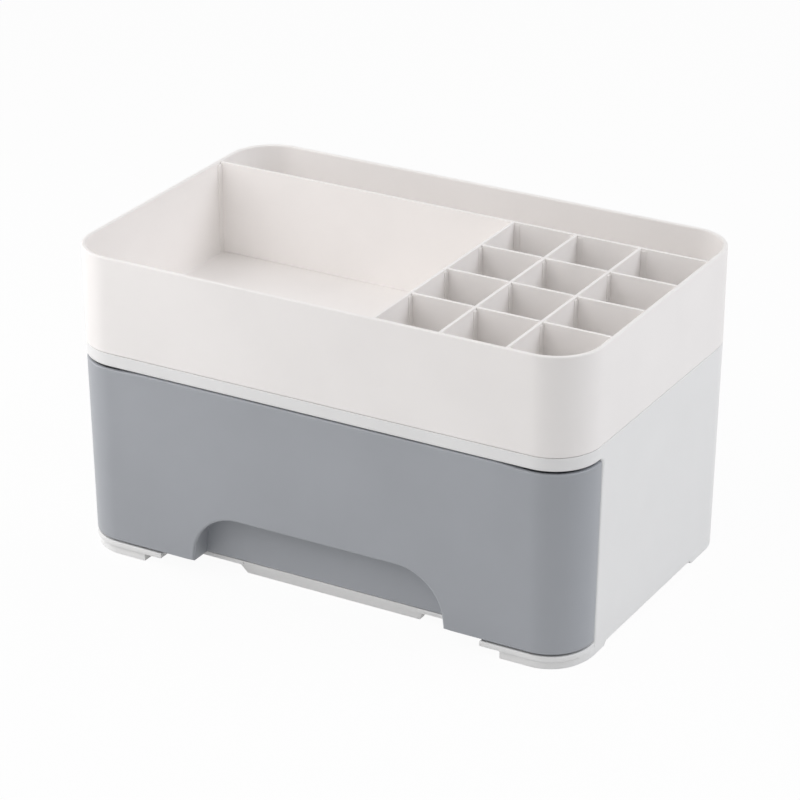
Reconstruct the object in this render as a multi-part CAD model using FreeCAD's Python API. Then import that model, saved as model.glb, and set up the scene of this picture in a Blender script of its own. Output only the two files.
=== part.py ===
import FreeCAD, Part
import math
import os

from FreeCAD import Vector

# The box stands on its feet at z = 0, with x to the right, y to the rear and z up.
# The origin is on the ground, in the middle of the outline. All sizes are in millimetres.

# Outline of the whole box, at the rim of the tray
overall_width = 260.0
overall_depth = 165.0
overall_height = 150.0
corner_radius = 22.5

# Heights, from the ground
seam_height = 103.0
plate_top = 6.7
plate_thickness = 2.6
skirt_height = 2.0

# Draft: how far the outer walls lean in, over the height of each moulding
tray_draft = 0.35
cabinet_draft = 1.85

# Tray
tray_wall = 2.0
tray_floor = 2.0
tray_floor_drop = 1.5
rim_round = 0.7
locating_skirt_depth = 2.0
locating_skirt_wall = 1.6
spigot_gap = 0.3
rear_compartment_depth = 32.5

# Slats that divide the tray
slat_thickness = 1.5
slat_top_drop = 0.2
slat_end_gap = 0.3
slat_side_gap = 0.2
lap_side_gap = 0.15
lap_height_gap = 0.2
guide_rib = 0.7
guide_rib_length = 2.4
guide_rib_drop = 1.0
columns = 3
rows = 4
column_pitch = 32.1
outer_cell_width = 32.2

# Cabinet
cabinet_wall = 2.5
header_height = 6.5
header_flange_depth = 7.0
header_flange_thickness = 2.0
front_wrap = 26.0
wall_edge_round = 1.2
seam_edge_break = 0.4
window_corner_radius = 2.5
plate_setback = 11.8
apron_reach = 48.0

# Feet
foot_inset = 1.0
foot_width = 6.0
foot_reach = 38.0
rear_foot_reach = 40.5
foot_end_slope = 2.0
centre_foot_length = 95.0
centre_foot_width = 7.0
centre_foot_slope = 2.8

# Drawer box
drawer_wall = 2.0
drawer_floor = 2.0
drawer_gap = 1.0
drawer_lift = 1.05
drawer_front_corner = 4.0
box_setback = 13.0
box_top_drop = 0.8
runner_width = 2.5
runner_inset = 26.0

# Drawer front
front_wall = 2.0
front_top_gap = 1.2
front_rear_gap = 0.5
front_edge_round = 0.7
front_edge_break = 0.5
flange_half_length = 103.0
flange_thickness = 1.8
front_rib = 1.5

# Finger cut-out in the drawer front, and the pocket behind it
scoop_half_width = 65.2
scoop_height = 33.7
scoop_radius = 24.0
pocket_height = 44.0
pocket_radius = 18.0
pocket_lean = 0.13
pocket_wall = 1.6

# Snap hooks that hold the drawer front to the drawer box
hook_x = 86.0
hook_low = 22.0
hook_high = 74.0
hook_width = 8.0
hook_thickness = 2.0
hook_barb = 1.0
hook_length = 2.6
hook_gap = 0.3

# Stops on the base plate, and catches under the drawer that meet them when it is pulled out
stop_height = 0.75
stop_width = 1.6
stop_length = 26.0
stop_x = 40.0
stop_setback = 22.0
stop_gap = 0.3
catch_setback = 15.5


def tray_lean(z):
    return tray_draft * (overall_height - z) / (overall_height - seam_height)


def cabinet_lean(z):
    return tray_draft + cabinet_draft * (seam_height - z) / seam_height


# Values that follow from the sizes above
half_width = overall_width / 2
half_depth = overall_depth / 2
floor_under = seam_height - tray_floor_drop
floor_top = floor_under + tray_floor
slat_top = overall_height - slat_top_drop
header_bottom = seam_height - header_height
plate_under = plate_top - plate_thickness
wall_front_y = -half_depth + front_wrap
drawer_bottom = plate_top + drawer_lift
drawer_top = header_bottom - front_top_gap
box_top = drawer_top - box_top_drop
box_front_y = -half_depth + box_setback
box_rear_y = half_depth - cabinet_lean(drawer_bottom) - cabinet_wall - drawer_gap
stop_y = -half_depth + stop_setback
catch_y = box_rear_y - catch_setback
drawer_travel = catch_y - stop_y - stop_width - stop_gap
divider_y = half_depth - tray_wall - rear_compartment_depth - slat_thickness / 2
beyond = 20.0
upward = Vector(0, 0, 1)

# Points closer together than this count as one
touch = 0.001


def box(x0, x1, y0, y1, z0, z1):
    return Part.makeBox(x1 - x0, y1 - y0, z1 - z0, Vector(x0, y0, z0))


def fuse_all(shapes):
    body = shapes[0].multiFuse(shapes[1:]) if len(shapes) > 1 else shapes[0]
    return body.removeSplitter()


def prism(points, push):
    wire = Part.makePolygon([Vector(*p) for p in points + points[:1]])
    return Part.Face(wire).extrude(Vector(*push))


def corner_centre(quarter, z):
    # Quarter 0 is the front right corner, and they go round anticlockwise, seen from above
    sx, sy = ((1, -1), (1, 1), (-1, 1), (-1, -1))[quarter % 4]
    return Vector(sx * (half_width - corner_radius), sy * (half_depth - corner_radius), z)


def outline(z, inset, lean):
    # At each corner a quarter circle, then the straight side that follows it
    radius = corner_radius - lean(z) - inset
    ways = (Vector(0, -1, 0), Vector(1, 0, 0), Vector(0, 1, 0), Vector(-1, 0, 0))
    edges = []
    for quarter in range(4):
        centre = corner_centre(quarter, z)
        following = corner_centre(quarter + 1, z)
        way = ways[(quarter + 1) % 4]
        start = (quarter - 1) * math.pi / 2
        circle = Part.Circle(centre, upward, radius)
        edges.append(Part.ArcOfCircle(circle, start, start + math.pi / 2).toShape())
        edges.append(Part.LineSegment(centre + way * radius, following + way * radius).toShape())
    return edges


def moulded_block(z0, z1, inset, lean):
    # A block inside the leaning outer walls: flat sides, with quarters of cones between them
    low = outline(z0, inset, lean)
    high = outline(z1, inset, lean)
    faces = [Part.Face(Part.Wire(low)), Part.Face(Part.Wire(high))]
    for quarter in range(4):
        foot, head = low[2 * quarter], high[2 * quarter]
        slant = Part.LineSegment(foot.Vertexes[0].Point, head.Vertexes[0].Point).toShape()
        faces.append(slant.revolve(corner_centre(quarter, 0), upward, 90))
        foot, head = low[2 * quarter + 1], high[2 * quarter + 1]
        points = [foot.Vertexes[0].Point, foot.Vertexes[1].Point,
                  head.Vertexes[1].Point, head.Vertexes[0].Point]
        faces.append(Part.Face(Part.makePolygon(points + points[:1])))
    shell = Part.makeShell(faces)
    shell.sewShape()
    return Part.makeSolid(shell)


def drawer_block(z0, z1, inset):
    # The room in the cabinet, less the running gap, with its own front face and front corners
    body = moulded_block(z0, z1, cabinet_wall + drawer_gap + inset, cabinet_lean)
    front = box_front_y + inset
    body = body.common(box(-half_width, half_width, front, half_depth, z0, z1))

    def is_corner(edge):
        level = abs(edge.Vertexes[0].Point.z - edge.Vertexes[1].Point.z) < touch
        return not level and all(abs(v.Point.y - front) < touch for v in edge.Vertexes)

    return body.makeFillet(drawer_front_corner - inset, [e for e in body.Edges if is_corner(e)])


def outline_edges(shape, z, inset, lean):
    # The edges of the shape that lie at this height on the moulding's outline
    line = Part.Wire(outline(z, inset, lean))
    found = []
    for edge in shape.Edges:
        middle = edge.valueAt((edge.FirstParameter + edge.LastParameter) / 2)
        level = all(abs(v.Point.z - z) < touch for v in edge.Vertexes)
        if level and line.distToShape(Part.Vertex(middle))[0] < touch:
            found.append(edge)
    return found


def slat_x(column):
    return half_width - tray_wall - outer_cell_width - slat_thickness / 2 - column * column_pitch


def inner_side(z):
    return half_width - tray_lean(z) - tray_wall


def inner_front(z):
    return -half_depth + tray_lean(z) + tray_wall


def cross_y(row):
    # The rows share the depth between the long divider and the front wall evenly
    rear = divider_y - slat_thickness / 2
    front = inner_front(floor_top)
    cell = (rear - front - (rows - 1) * slat_thickness) / rows
    return front + (row + 1) * cell + (row + 0.5) * slat_thickness


def guide_pair(along, centre, reach0, reach1):
    # Two upright ribs, one each side of a slat that runs along x or y
    near = slat_thickness / 2 + slat_side_gap
    far = near + guide_rib_length
    top = slat_top - guide_rib_drop
    ribs = []
    for a, b in ((-far, -near), (near, far)):
        if along == "y":
            ribs.append(box(centre + a, centre + b, reach0, reach1, floor_top, top))
        else:
            ribs.append(box(reach0, reach1, centre + a, centre + b, floor_top, top))
    return ribs


def tray_shell():
    body = moulded_block(seam_height, overall_height, 0, tray_lean)
    spigot = moulded_block(floor_under, seam_height, cabinet_wall + spigot_gap, cabinet_lean)
    body = body.fuse(spigot)
    hollow = moulded_block(floor_top, overall_height + beyond, tray_wall, tray_lean)
    body = body.cut(hollow).removeSplitter()

    for inset in (0, tray_wall):
        rim = outline_edges(body, overall_height, inset, tray_lean)
        body = body.makeFillet(rim_round, rim)
    seam = outline_edges(body, seam_height, 0, tray_lean)
    body = body.makeChamfer(seam_edge_break, seam)

    skirt_inset = cabinet_wall + spigot_gap
    skirt_bottom = floor_under - locating_skirt_depth
    skirt = moulded_block(skirt_bottom, floor_under, skirt_inset, cabinet_lean)
    skirt = skirt.cut(moulded_block(skirt_bottom - beyond, floor_under + beyond,
                                    skirt_inset + locating_skirt_wall, cabinet_lean))

    deep = inner_side(floor_top)
    ribs = []
    for side in (-1, 1):
        ends = sorted((side * (deep + tray_wall / 2), side * (deep - guide_rib)))
        ribs += guide_pair("x", divider_y, ends[0], ends[1])
    for row in range(rows - 1):
        ribs += guide_pair("x", cross_y(row), deep - guide_rib, deep + tray_wall / 2)
    front = inner_front(floor_top)
    for column in range(columns):
        ribs += guide_pair("y", slat_x(column), front - tray_wall / 2, front + guide_rib)
    return fuse_all([body, skirt] + ribs)


def long_divider():
    y0 = divider_y - slat_thickness / 2
    low = inner_side(floor_top) - slat_end_gap
    high = inner_side(slat_top) - slat_end_gap
    points = [(-low, y0, floor_top), (low, y0, floor_top),
              (high, y0, slat_top), (-high, y0, slat_top)]
    body = prism(points, (0, slat_thickness, 0))
    ribs = []
    for column in range(columns):
        ribs += guide_pair("y", slat_x(column), y0 - guide_rib, y0 + slat_thickness / 2)
    return fuse_all([body] + ribs)


def lengthwise_slat(column):
    x = slat_x(column)
    x0 = x - slat_thickness / 2
    rear = divider_y - slat_thickness / 2 - slat_end_gap
    points = [(x0, inner_front(floor_top) + slat_end_gap, floor_top),
              (x0, rear, floor_top),
              (x0, rear, slat_top),
              (x0, inner_front(slat_top) + slat_end_gap, slat_top)]
    body = prism(points, (slat_thickness, 0, 0))
    last = column == columns - 1
    reach0 = x if last else x0 - guide_rib
    ribs = []
    for row in range(rows - 1):
        ribs += guide_pair("x", cross_y(row), reach0, x + slat_thickness / 2 + guide_rib)
    body = fuse_all([body] + ribs)
    if last:
        return body
    middle = (floor_top + slat_top) / 2
    half_slot = slat_thickness / 2 + lap_side_gap
    for row in range(rows - 1):
        y = cross_y(row)
        body = body.cut(box(x - beyond, x + beyond, y - half_slot, y + half_slot,
                            floor_top - beyond, middle + lap_height_gap))
    return body


def cross_slat(row):
    y0 = cross_y(row) - slat_thickness / 2
    left = slat_x(columns - 1) + slat_thickness / 2 + slat_end_gap
    points = [(left, y0, floor_top),
              (inner_side(floor_top) - slat_end_gap, y0, floor_top),
              (inner_side(slat_top) - slat_end_gap, y0, slat_top),
              (left, y0, slat_top)]
    body = prism(points, (0, slat_thickness, 0))
    middle = (floor_top + slat_top) / 2
    half_slot = slat_thickness / 2 + lap_side_gap
    for column in range(columns - 1):
        x = slat_x(column)
        body = body.cut(box(x - half_slot, x + half_slot, y0 - beyond, y0 + beyond,
                            middle, slat_top + beyond))
    return body


def side_cut(y0, y1, z0, z1, slope):
    # A cut right across the box with sloping ends, seen from the side
    points = [(-half_width - beyond, y0 + slope, z1), (-half_width - beyond, y1 - slope, z1),
              (-half_width - beyond, y1, z0), (-half_width - beyond, y0, z0)]
    return prism(points, (overall_width + 2 * beyond, 0, 0))


def front_cut(x0, x1, y0, y1, z0, z1, slope):
    points = [(x0 + slope, y0, z1), (x1 - slope, y0, z1), (x1, y0, z0), (x0, y0, z0)]
    return prism(points, (0, y1 - y0, 0))


def drawer_window():
    # The opening for the drawer: its upper rear corner is rounded, seen from the side
    body = box(-half_width - beyond, half_width + beyond, -half_depth - beyond, wall_front_y,
               plate_top, header_bottom)

    def is_corner(edge):
        p = edge.CenterOfMass
        return abs(p.y - wall_front_y) < touch and abs(p.z - header_bottom) < touch

    return body.makeFillet(window_corner_radius, [e for e in body.Edges if is_corner(e)])


def window_edges(body):
    # The outer edges round the drawer's opening, which are rounded over
    def is_outer(vertex):
        p = vertex.Point
        inside = max(abs(p.x) - half_width + corner_radius, 0)
        deep = max(abs(p.y) - half_depth + corner_radius, 0)
        reach = corner_radius - cabinet_lean(p.z)
        level = plate_top - touch < p.z < header_bottom + touch
        return level and abs(math.hypot(inside, deep) - reach) < touch

    found = []
    for edge in body.Edges:
        ends = [v.Point.z for v in edge.Vertexes]
        if all(is_outer(v) for v in edge.Vertexes) and max(ends) > plate_top + touch:
            found.append(edge)
    return found


def foot_ring(inset):
    ring = moulded_block(0, plate_under, inset, cabinet_lean)
    return ring.cut(moulded_block(-beyond, plate_under + beyond, inset + foot_width, cabinet_lean))


def corner_feet():
    ring = foot_ring(0)
    inner_ring = foot_ring(foot_inset)
    far_x = half_width + beyond
    far_y = half_depth + beyond
    feet = []
    for side in (-1, 1):
        x0, x1 = sorted((side * (half_width - foot_reach), side * far_x))
        front = box(x0, x1, -far_y, wall_front_y, 0, plate_under)
        flank = box(x0, x1, wall_front_y, -half_depth + foot_reach, 0, plate_under)
        rear = box(x0, x1, half_depth - rear_foot_reach, far_y, 0, plate_under)
        feet += [inner_ring.common(front), ring.common(flank), ring.common(rear)]
    return feet


def centre_foot():
    # A bar under the finger cut-out: it widens upward on its front and at both ends
    x = centre_foot_length / 2
    front = -half_depth + plate_setback
    rear = front + centre_foot_width
    side_view = [(-half_width, front + centre_foot_slope, 0), (-half_width, rear, 0),
                 (-half_width, rear, plate_under), (-half_width, front, plate_under)]
    front_view = [(-x, front, 0), (x, front, 0),
                  (x + centre_foot_slope, front, plate_under),
                  (-x - centre_foot_slope, front, plate_under)]
    return prism(side_view, (overall_width, 0, 0)).common(
        prism(front_view, (0, centre_foot_width, 0)))


def drawer_stops():
    top = plate_top + stop_height
    return [box(side * stop_x - stop_length / 2, side * stop_x + stop_length / 2,
                stop_y, stop_y + stop_width, plate_under, top) for side in (-1, 1)]


def cabinet_shell():
    body = moulded_block(0, seam_height, 0, cabinet_lean)
    bay = moulded_block(plate_top, seam_height + beyond, cabinet_wall, cabinet_lean)
    under = moulded_block(-beyond, plate_under, cabinet_wall, cabinet_lean)
    body = body.cut(bay).cut(under).cut(drawer_window())

    # In front of the side walls only the plate is left below the drawer
    far_x = half_width + beyond
    far_y = half_depth + beyond
    body = body.cut(box(-far_x, far_x, -far_y, wall_front_y, -beyond, plate_under))
    apron_x = half_width - apron_reach
    body = body.cut(box(-apron_x, apron_x, -far_y, -half_depth + plate_setback,
                        -beyond, plate_top))

    # The walls end above the ground between the feet
    body = body.cut(side_cut(-half_depth + foot_reach - foot_end_slope,
                             half_depth - rear_foot_reach + foot_end_slope,
                             0, skirt_height, foot_end_slope))
    rear_x = half_width - foot_reach + foot_end_slope
    body = body.cut(front_cut(-rear_x, rear_x, half_depth - corner_radius, far_y,
                              0, skirt_height, foot_end_slope))
    body = body.removeSplitter()

    seam = outline_edges(body, seam_height, 0, cabinet_lean)
    body = body.makeChamfer(seam_edge_break, seam)
    body = body.makeFillet(wall_edge_round, window_edges(body))

    flange_z0 = header_bottom
    flange_z1 = header_bottom + header_flange_thickness
    flange = moulded_block(flange_z0, flange_z1, cabinet_wall, cabinet_lean)
    flange = flange.cut(moulded_block(flange_z0 - beyond, flange_z1 + beyond,
                                      cabinet_wall + header_flange_depth, cabinet_lean))
    flange = flange.common(box(-far_x, far_x, -far_y, wall_front_y, flange_z0, flange_z1))
    return fuse_all([body, flange, centre_foot()] + corner_feet() + drawer_stops())


def scoop_profile(half, top, radius, lean, y, push):
    # An arch with rounded shoulders: its sides lean in by the given share of their height
    foot = drawer_bottom - beyond
    shoulder = top - radius
    x0 = half + lean * (drawer_bottom - foot)
    x1 = half - lean * (shoulder - drawer_bottom)
    diagonal = math.sqrt(0.5)
    cx = x1 - radius
    bend = (cx + radius * diagonal, shoulder + radius * diagonal)
    edges = [
        Part.LineSegment(Vector(-x0, y, foot), Vector(x0, y, foot)),
        Part.LineSegment(Vector(x0, y, foot), Vector(x1, y, shoulder)),
        Part.Arc(Vector(x1, y, shoulder), Vector(bend[0], y, bend[1]), Vector(cx, y, top)),
        Part.LineSegment(Vector(cx, y, top), Vector(-cx, y, top)),
        Part.Arc(Vector(-cx, y, top), Vector(-bend[0], y, bend[1]), Vector(-x1, y, shoulder)),
        Part.LineSegment(Vector(-x1, y, shoulder), Vector(-x0, y, foot)),
    ]
    wire = Part.Wire([e.toShape() for e in edges])
    return Part.Face(wire).extrude(Vector(0, push, 0))


def hook_places():
    return [(side * hook_x, z) for side in (-1, 1) for z in (hook_low, hook_high)]


def snap_hook(x, z):
    # A flat tongue through the drawer box's front wall, with a barb that grips behind it
    behind = box_front_y + drawer_wall
    y0 = -half_depth + front_wall
    points = [(x - hook_width / 2, y0, z),
              (x - hook_width / 2, behind + hook_length, z),
              (x - hook_width / 2, behind + hook_length, z + hook_thickness / 2),
              (x - hook_width / 2, behind + hook_gap, z + hook_thickness + hook_barb),
              (x - hook_width / 2, behind + hook_gap, z + hook_thickness),
              (x - hook_width / 2, y0, z + hook_thickness)]
    return prism(points, (hook_width, 0, 0))


def drawer_front():
    filled = moulded_block(drawer_bottom, drawer_top, 0, cabinet_lean)
    hollow = moulded_block(drawer_bottom - beyond, drawer_top + beyond, front_wall, cabinet_lean)
    shell = filled.cut(hollow)
    far_x = half_width + beyond
    shell = shell.common(box(-far_x, far_x, -half_depth - beyond, wall_front_y - front_rear_gap,
                             drawer_bottom, drawer_top))
    shell = shell.makeFillet(front_edge_round, outline_edges(shell, drawer_top, 0, cabinet_lean))
    shell = shell.makeChamfer(front_edge_break, outline_edges(shell, drawer_bottom, 0, cabinet_lean))

    mouth = scoop_profile(scoop_half_width, scoop_height, scoop_radius, 0,
                          -half_depth - beyond, beyond + front_wall + cabinet_draft + tray_draft)
    shell = shell.cut(mouth)

    # What stands between the outer wall and the drawer box
    room = moulded_block(drawer_bottom, drawer_top, front_wall / 2, cabinet_lean)
    room = room.common(box(-far_x, far_x, -half_depth, box_front_y, drawer_bottom, drawer_top))
    depth = box_setback + beyond
    arch = scoop_profile(scoop_half_width + pocket_wall, pocket_height + pocket_wall,
                         pocket_radius + pocket_wall, pocket_lean, -half_depth, depth)
    hollow_arch = scoop_profile(scoop_half_width, pocket_height, pocket_radius, pocket_lean,
                                -half_depth - beyond, depth + 2 * beyond)
    inner = [room.common(arch).cut(hollow_arch)]
    inner.append(room.common(box(-flange_half_length, flange_half_length, -half_depth, box_front_y,
                                 drawer_top - flange_thickness, drawer_top)))
    for side in (-1, 1):
        x0, x1 = sorted((side * flange_half_length, side * (flange_half_length - front_rib)))
        inner.append(room.common(box(x0, x1, -half_depth, box_front_y, drawer_bottom, drawer_top)))
    hooks = [snap_hook(x, z) for x, z in hook_places()]
    return fuse_all([shell] + inner + hooks)


def drawer_box():
    body = drawer_block(drawer_bottom, box_top, 0)
    body = body.cut(drawer_block(drawer_bottom + drawer_floor, box_top + beyond, drawer_wall))
    for x, z in hook_places():
        body = body.cut(box(x - hook_width / 2 - hook_gap, x + hook_width / 2 + hook_gap,
                            box_front_y - beyond, box_front_y + drawer_wall + beyond,
                            z - hook_gap, z + hook_thickness + hook_barb + hook_gap))

    # Runners rest on the base plate, and a catch at the rear meets the stops on it
    extras = []
    for side in (-1, 1):
        x = side * (half_width - runner_inset)
        extras.append(box(x - runner_width / 2, x + runner_width / 2,
                          box_front_y + drawer_front_corner, box_rear_y - corner_radius,
                          plate_top, drawer_bottom + drawer_floor / 2))
        x = side * stop_x
        extras.append(box(x - stop_length / 2, x + stop_length / 2,
                          catch_y, catch_y + stop_width,
                          drawer_bottom - stop_height, drawer_bottom + drawer_floor / 2))
    return fuse_all([body] + extras)


def main():
    os.makedirs("parts", exist_ok=True)
    nodes = {
        "cabinet_shell": cabinet_shell(),
        "drawer_front": drawer_front(),
        "drawer_box": drawer_box(),
        "tray_shell": tray_shell(),
        "long_divider": long_divider(),
    }
    for column in range(columns):
        nodes["lengthwise_slat_%d" % (columns - column)] = lengthwise_slat(column)
    for row in range(rows - 1):
        nodes["cross_slat_%d" % (row + 1)] = cross_slat(row)
    for name, shape in nodes.items():
        bounds = shape.optimalBoundingBox(False)
        print(name, "solids", len(shape.Solids), "valid", shape.isValid(),
              "volume", round(shape.Volume), "x %.2f %.2f y %.2f %.2f z %.2f %.2f" % (
                  bounds.XMin, bounds.XMax, bounds.YMin, bounds.YMax, bounds.ZMin, bounds.ZMax))
        shape.exportStep("parts/%s.step" % name)
    print("the drawer runs out by %.2f before its catches meet the stops" % drawer_travel)


main()
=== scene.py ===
# %% [markdown]
# # A desk-top makeup box
#
# The real box is a few injection mouldings: a white tray with an open top, a white cabinet that carries it,
# a grey drawer with a wrapped front, and thin slats that divide the tray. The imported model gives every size
# and every joint. This script puts a finished surface over each of its pieces, with the small rounded
# edges, the fine texture of the mould and the soft studio light that plastic needs to look like plastic.

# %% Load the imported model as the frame
import math

import bpy
import numpy as np
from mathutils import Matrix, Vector


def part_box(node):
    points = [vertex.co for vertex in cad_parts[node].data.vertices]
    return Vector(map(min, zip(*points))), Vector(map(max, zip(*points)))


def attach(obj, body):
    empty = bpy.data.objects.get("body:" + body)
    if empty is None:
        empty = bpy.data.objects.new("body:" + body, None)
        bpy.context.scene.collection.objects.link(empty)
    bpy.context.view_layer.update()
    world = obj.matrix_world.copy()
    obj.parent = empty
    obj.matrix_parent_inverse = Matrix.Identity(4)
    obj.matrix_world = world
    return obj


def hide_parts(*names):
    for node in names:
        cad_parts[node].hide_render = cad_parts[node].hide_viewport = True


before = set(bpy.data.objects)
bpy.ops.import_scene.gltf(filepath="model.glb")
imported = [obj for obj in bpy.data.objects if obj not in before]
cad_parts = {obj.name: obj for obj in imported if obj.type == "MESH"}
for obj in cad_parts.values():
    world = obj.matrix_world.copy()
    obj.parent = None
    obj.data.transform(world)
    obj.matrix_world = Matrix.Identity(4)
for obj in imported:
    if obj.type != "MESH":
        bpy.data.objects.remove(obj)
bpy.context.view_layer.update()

MM = 0.001
print("nodes:", sorted(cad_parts))

# %% [markdown]
# ## Sizes
#
# Blender works in metres, so each size below is written in millimetres and multiplied by MM. Where a node
# of the frame shows a size, it is read from there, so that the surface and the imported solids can't drift
# apart. What no node's box shows, such as a wall or a corner radius, is a named value.

# %% Heights and outline from the frame
tray_low, tray_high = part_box("tray_shell")
front_low, front_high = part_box("drawer_front")
box_low, box_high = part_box("drawer_box")
divider_low, divider_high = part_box("long_divider")

half_width = round(tray_high.x, 3)
half_depth = round(tray_high.y, 4)
rim_height = tray_high.z
seam_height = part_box("cabinet_shell")[1].z
floor_top = divider_low.z
slat_top = divider_high.z
skirt_bottom = tray_low.z
drawer_bottom = front_low.z
drawer_top = front_high.z
plate_top = box_low.z
box_top = box_high.z
box_front = box_low.y
ear_rear = front_high.y
print(f"outline {2 * half_width:.3f} by {2 * half_depth:.3f} m, rim at {rim_height:.3f} m")

# %% Sizes that no box shows
corner_radius = 22.5 * MM
tray_draft = 0.35 * MM
cabinet_draft = 1.85 * MM
header_height = 6.5 * MM
front_wrap = 26.0 * MM
plate_thickness = 2.6 * MM
tray_wall = 2.0 * MM
tray_floor = 2.0 * MM
cabinet_wall = 2.5 * MM
drawer_wall = 2.0 * MM
slat_thickness = 1.5 * MM

header_bottom = seam_height - header_height
wall_front = -half_depth + front_wrap
plate_under = plate_top - plate_thickness
floor_under = floor_top - tray_floor
print(f"header from {header_bottom:.4f} m, tray floor from {floor_under:.4f} m")

# %% [markdown]
# ## The outline, and walls that lean
#
# Every moulding follows one rounded rectangle. A mould needs draft, so each wall leans in a little towards
# its closed end: the cabinet by 1.85 mm over its height, the tray by 0.35 mm. Bevelled boxes could give the
# corners, but not the openings and borders that follow a leaning wall round them. So the outline is walked
# by one distance `s`, measured round it from the middle of the front. Each `s` has a centre, which travels
# along a straight side, and an outward direction, which turns round a corner. A point of a wall is the
# centre plus that direction times a reach: the corner radius less the lean and less the depth inside the
# outer face.

# %% Walking round the outline
side_half = half_depth - corner_radius
front_half = half_width - corner_radius
quarter = corner_radius * math.pi / 2
lap_half = 2 * front_half + 2 * quarter + 2 * side_half
second_corner = front_half + quarter + 2 * side_half


def lean(height):
    """How far the outer wall has leaned in at this height: linear over the tray, then over the cabinet."""
    above = tray_draft * (rim_height - height) / (rim_height - seam_height)
    below = tray_draft + cabinet_draft * (seam_height - height) / seam_height
    return np.where(height >= seam_height, above, below)


def outline(s):
    """Centre and outward direction at distance s from the front middle; positive s goes by the right side.
    The turn is how much of each corner's quarter circle is already walked, clipped to a right angle."""
    walked = np.abs(s)
    first = np.clip((walked - front_half) / corner_radius, 0, math.pi / 2)
    second = np.clip((walked - second_corner) / corner_radius, 0, math.pi / 2)
    turned = first + second
    hand = np.sign(s)
    across = np.clip(walked, 0, front_half) - np.clip(walked - second_corner - quarter, 0, front_half)
    along = -side_half + np.clip(walked - front_half - quarter, 0, 2 * side_half)
    centre = np.stack([hand * across, along], -1)
    outward = np.stack([hand * np.sin(turned), -np.cos(turned)], -1)
    return centre, outward


print(f"one lap is {2 * lap_half:.3f} m")

# %% A point of a wall, and the steps of one lap
def on_wall(s, height, depth):
    """Point at distance s round the outline, at this height, this deep inside the outer face."""
    s, height, depth = np.broadcast_arrays(s, height, depth)
    centre, outward = outline(s)
    reach = corner_radius - lean(height) - depth
    flat = centre + outward * reach[..., None]
    return np.concatenate([flat, height[..., None]], -1)


def lap_steps(corner_steps=28, margin=1.0 * MM):
    """Distances for one lap: dense round the corners, and one more just outside each corner, so that the
    flat sides look flat under smooth shading."""
    starts = [front_half, second_corner]
    right = [np.linspace(a, a + quarter, corner_steps + 1) for a in starts]
    right += [np.array([a - margin, a + quarter + margin]) for a in starts]
    right = np.unique(np.concatenate(right))
    return np.concatenate([-right[::-1], right])


lap = lap_steps()
print("one lap has", len(lap), "steps")

# %% [markdown]
# ## From numbers to a mesh
#
# A shell is a closed surface: an array of points and a list of face arrays. Its volume comes out positive
# when the faces point outwards, so a shell with a negative volume has its faces reversed. One moulding may
# join several shells, such as a wall and its ribs. foreach_set puts whole arrays into the mesh at once, much
# faster than point by point. The shading is smooth, except across an edge that turns by more than 35
# degrees, where it would smear light and shade round the square ends of slats and ribs.

# %% Shells
def signed_volume(points, faces):
    """A sixth of the triple product of each triangle's corners, added over every face's fan of them."""
    total = 0.0
    for face in faces:
        a = points[face[:, :1]]
        b = points[face[:, 1:-1]]
        c = points[face[:, 2:]]
        total += np.einsum("ijk,ijk->", np.broadcast_to(a, b.shape), np.cross(b, c)) / 6
    return total


def shell(points, faces):
    """Points and face arrays, each face array with one number of corners, turned to face outwards."""
    points = np.asarray(points, float).reshape(-1, 3)
    faces = [np.atleast_2d(face) for face in faces]
    if signed_volume(points, faces) < 0:
        faces = [face[:, ::-1] for face in faces]
    return points, faces


def grid_faces(rows, columns, wrap_rows=False, wrap_columns=False):
    """Quads of a grid numbered row by row; a wrapped direction joins its last line to its first."""
    row = np.arange(rows if wrap_rows else rows - 1)[:, None]
    column = np.arange(columns if wrap_columns else columns - 1)[None, :]
    next_row, next_column = (row + 1) % rows, (column + 1) % columns
    corners = [row * columns + column, next_row * columns + column,
               next_row * columns + next_column, row * columns + next_column]
    return np.stack(np.broadcast_arrays(*corners), -1).reshape(-1, 4)


print("a grid of 3 by 4 points has", len(grid_faces(3, 4)), "quads")

# %% Pieces
sharp_angle = math.radians(35)


def new_object(name, data):
    """An object that shows this data, linked into the scene."""
    item = bpy.data.objects.new(name, data)
    bpy.context.scene.collection.objects.link(item)
    return item


def make_piece(name, shells, body, replaced):
    """One object from several shells, riding on a body of the frame. The points are put end to end, so each
    shell's faces count on from the shells before it."""
    mesh = bpy.data.meshes.new(name)
    points = np.concatenate([part[0] for part in shells])
    firsts = np.cumsum([0] + [len(part[0]) for part in shells[:-1]])
    faces = [face + first for part, first in zip(shells, firsts) for face in part[1]]
    corners = np.concatenate([face.ravel() for face in faces])
    counts = np.concatenate([np.full(len(face), face.shape[1]) for face in faces])
    mesh.vertices.add(len(points))
    mesh.vertices.foreach_set("co", points.astype(np.float32).ravel())
    mesh.loops.add(len(corners))
    mesh.loops.foreach_set("vertex_index", corners.astype(np.int32))
    mesh.polygons.add(len(counts))
    mesh.polygons.foreach_set("loop_start", (np.cumsum(counts) - counts).astype(np.int32))
    mesh.polygons.foreach_set("loop_total", counts.astype(np.int32))
    mesh.update(calc_edges=True)
    mesh.validate()
    mesh.set_sharp_from_angle(angle=sharp_angle)
    piece = new_object(name, mesh)
    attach(piece, body)
    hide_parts(replaced)
    print(f"{name}: {len(points)} points, {len(counts)} faces, from {len(shells)} shells")
    return piece


# %% [markdown]
# ## Rounded profiles
#
# No moulded edge is perfectly sharp, and a sharp edge catches no light. A Bevel modifier rounds edges too,
# but here each has its own radius, so a wall's cross-section is written with plain corners and their radii,
# and the corners are then replaced by arcs. An arc begins at the radius times the tangent of half the turn
# before its corner. A supporting point just outside each arc keeps the shading of the flat part flat.

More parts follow.
